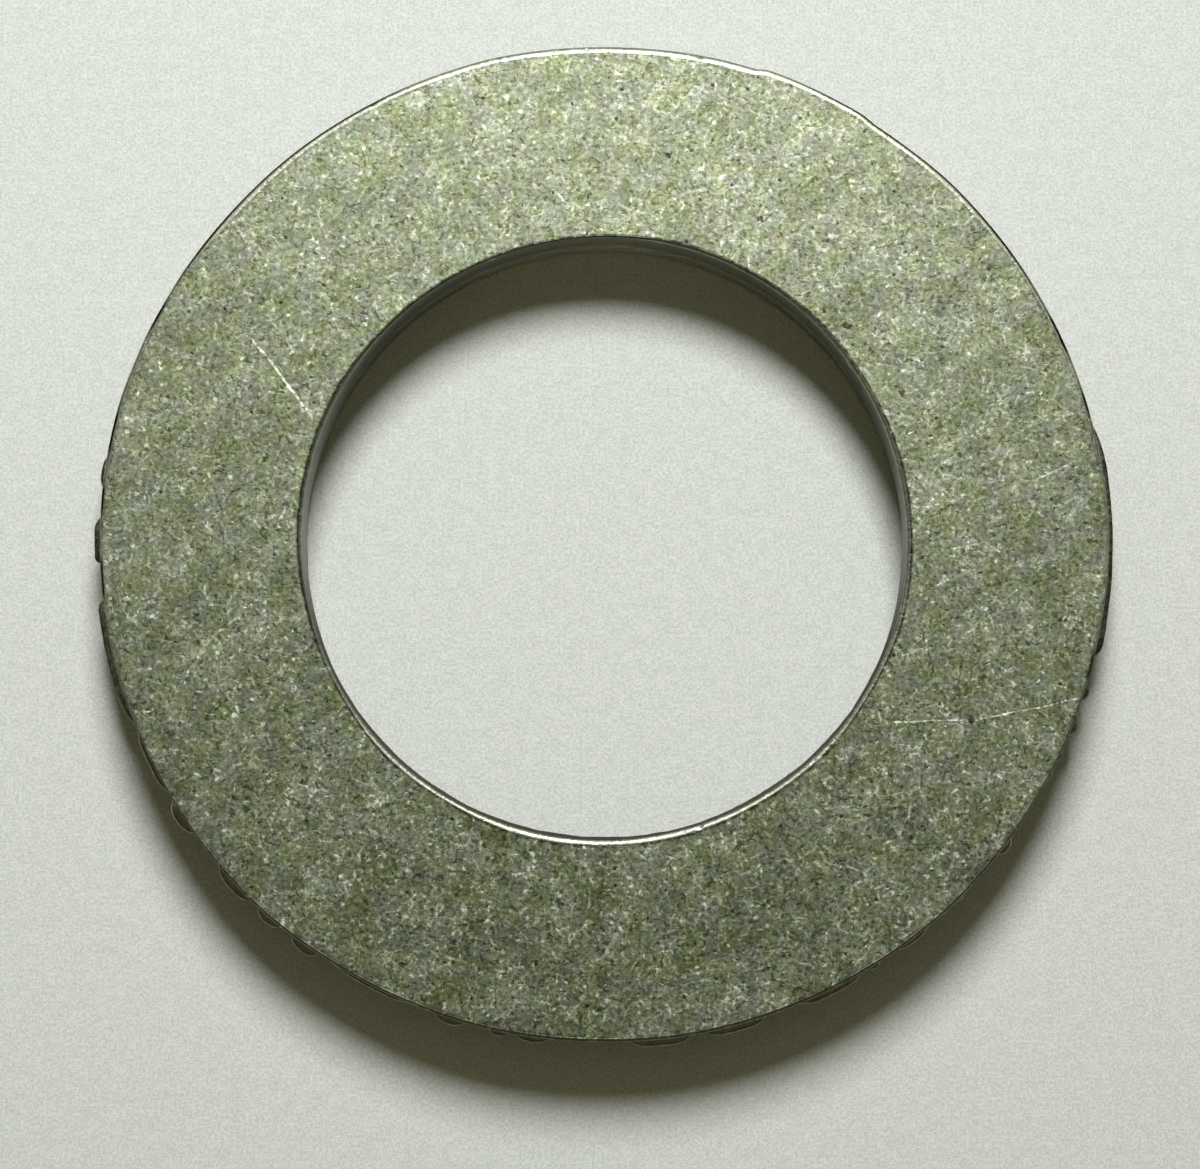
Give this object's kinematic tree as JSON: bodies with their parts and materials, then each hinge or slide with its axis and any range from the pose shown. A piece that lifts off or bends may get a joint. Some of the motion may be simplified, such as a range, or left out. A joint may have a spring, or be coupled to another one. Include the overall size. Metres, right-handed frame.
{
  "type": "flat washer",
  "caption": "Plain flat ring washer, blanked from plate steel, with rolled upper edges and a ragged broken band round the lower rim.",
  "frame": {"origin": "centre of the lower face, on the axis of the bore", "axes": "+Z along the bore, out of the upper face with the rolled edges; +X and +Y lie in the lower face"},
  "size_m": [0.0289, 0.0283, 0.0025],
  "materials": {
    "tumbled_steel": "dull tumbled grey with a faint olive oil tint, fine random scratches and small bright glints; brighter on the rolled edges and dark on the sheared walls"
  },
  "bodies": {
    "root": {"washer": "tumbled_steel"}
  },
  "joints": []
}
